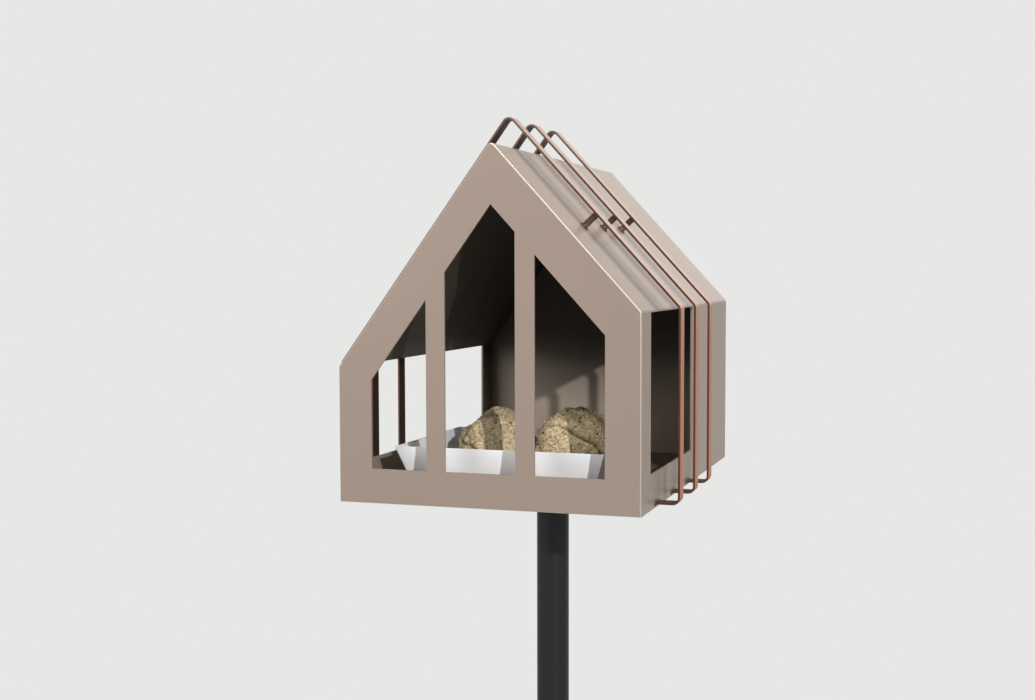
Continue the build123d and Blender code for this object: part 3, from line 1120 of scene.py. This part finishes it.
class FEEDER_OT_stage(Operator):
    """Sets the floor, the lights and the camera"""

    bl_idname = "feeder.stage"
    bl_label = "Studio"

    def execute(self, context):
        stage = context.scene.feeder_stage
        self.camera(context.scene, stage)
        self.world(context.scene, stage)
        self.floor(stage)
        self.lights(stage)
        context.scene.view_settings.view_transform = "Standard"
        return {"FINISHED"}

    def camera(self, scene, stage):
        """Camera that looks along +Y, turned and dipped as the picture was taken."""
        data = bpy.data.cameras.new("view")
        camera = link("view", data)
        data.sensor_width, data.lens = 36.0, stage.lens
        data.shift_x = stage.shift
        data.clip_start, data.clip_end = 0.01, 100.0
        camera.location = stage.camera_place
        camera.rotation_euler = (math.pi / 2 - stage.camera_dip, 0, stage.camera_turn)
        scene.camera = camera

    def world(self, scene, stage):
        """Even light all round, seen as the backdrop's colour."""
        world = bpy.data.worlds.new("studio")
        scene.world = world
        world.use_nodes = True
        tree = world.node_tree
        tree.nodes.clear()
        add = partial(add_node, tree)
        path = add("ShaderNodeLightPath").outputs
        seen = path["Is Camera Ray"]
        for ray in ("Is Glossy Ray", "Is Transmission Ray"):
            seen = add("ShaderNodeMath", [seen, path[ray]], operation="MAXIMUM")
        plain = {"Color": (1, 1, 1, 1), "Strength": stage.world_strength}
        pale = {"Color": dimmed(stage.floor_colour), "Strength": 1.0}
        light, backdrop = (add("ShaderNodeBackground", tone) for tone in (plain, pale))
        mix = add("ShaderNodeMixShader", [seen, light, backdrop])
        add("ShaderNodeOutputWorld", {"Surface": mix})

    def floor(self, stage):
        """Round pale floor, lit to the backdrop's tone near the pole, that fades into the backdrop."""
        bm = bmesh.new()
        bmesh.ops.create_circle(bm, cap_ends=True, segments=96, radius=FLOOR_RADIUS)
        floor = link("studio_floor", mesh_of(bm, "studio_floor"))
        material, add = new_material("studio_floor")
        base = dimmed(stage.floor_colour, FLOOR_SHARE)
        surface(material, {"Base Color": base, "Roughness": 0.9, "Specular IOR Level": 0.1})
        point = add("ShaderNodeTexCoord").outputs["Object"]
        far = add("ShaderNodeVectorMath", [point], operation="LENGTH")
        reach = {"Value": far, "From Min": FLOOR_FADE[0], "From Max": FLOOR_FADE[1]}
        fade = add("ShaderNodeMapRange", reach, interpolation_type="SMOOTHSTEP")
        glow = add("ShaderNodeEmission", {"Color": dimmed(stage.floor_colour), "Strength": 1.0})
        nodes = material.node_tree.nodes
        mix = add("ShaderNodeMixShader", [fade, nodes["Principled BSDF"], glow])
        plug(nodes["Material Output"], {"Surface": mix})
        floor.data.materials.append(material)

    def lights(self, stage):
        """Crisp key from the front right, soft top, strip, back and fill lights, all facing the house."""
        centre = (panel_low + back_high) / 2
        for name, (direction, distance, size) in LAMPS.items():
            data = bpy.data.lights.new(name, "AREA")
            data.shape, data.energy = "RECTANGLE", getattr(stage, f"{name}_power")
            data.size, data.size_y = size
            lamp = link(name, data)
            lamp.visible_camera = False
            side, up = (math.radians(a) for a in direction)
            away = Vector((math.sin(side) * math.cos(up), -math.cos(side) * math.cos(up), math.sin(up)))
            lamp.location = centre + away * distance
            lamp.rotation_euler = away.to_track_quat("Z", "Y").to_euler()


class FEEDER_PT_panel(Panel):
    """Lists the steps and their settings"""

    bl_label = "Bird feeder"
    bl_idname = "FEEDER_PT_panel"
    bl_space_type = "VIEW_3D"
    bl_region_type = "UI"
    bl_category = "Feeder"

    def draw(self, context):
        for step in STEPS:
            self.layout.operator(step.bl_idname)
        for group in GROUPS:
            settings = getattr(context.scene, group)
            for name in settings.bl_rna.properties.keys():
                if name not in ("rna_type", "name"):
                    self.layout.prop(settings, name)


STEPS = (FEEDER_OT_house, FEEDER_OT_hoops, FEEDER_OT_tray, FEEDER_OT_suet, FEEDER_OT_pole, FEEDER_OT_stage)
GROUPS = {
    "feeder_house": HouseSettings,
    "feeder_bars": BarSettings,
    "feeder_tray": TraySettings,
    "feeder_suet": SuetSettings,
    "feeder_stage": StageSettings,
}


def register():
    for kind in (*GROUPS.values(), *STEPS, FEEDER_PT_panel):
        bpy.utils.register_class(kind)
    for name, kind in GROUPS.items():
        setattr(bpy.types.Scene, name, PointerProperty(type=kind))


def unregister():
    for name in GROUPS:
        delattr(bpy.types.Scene, name)
    for kind in (FEEDER_PT_panel, *reversed(STEPS), *reversed(GROUPS.values())):
        bpy.utils.unregister_class(kind)


def main():
    """Runs every step in order."""
    register()
    bpy.ops.feeder.house()
    bpy.ops.feeder.hoops()
    bpy.ops.feeder.tray()
    bpy.ops.feeder.suet()
    bpy.ops.feeder.pole()
    bpy.ops.feeder.stage()


if __name__ == "__main__":
    main()
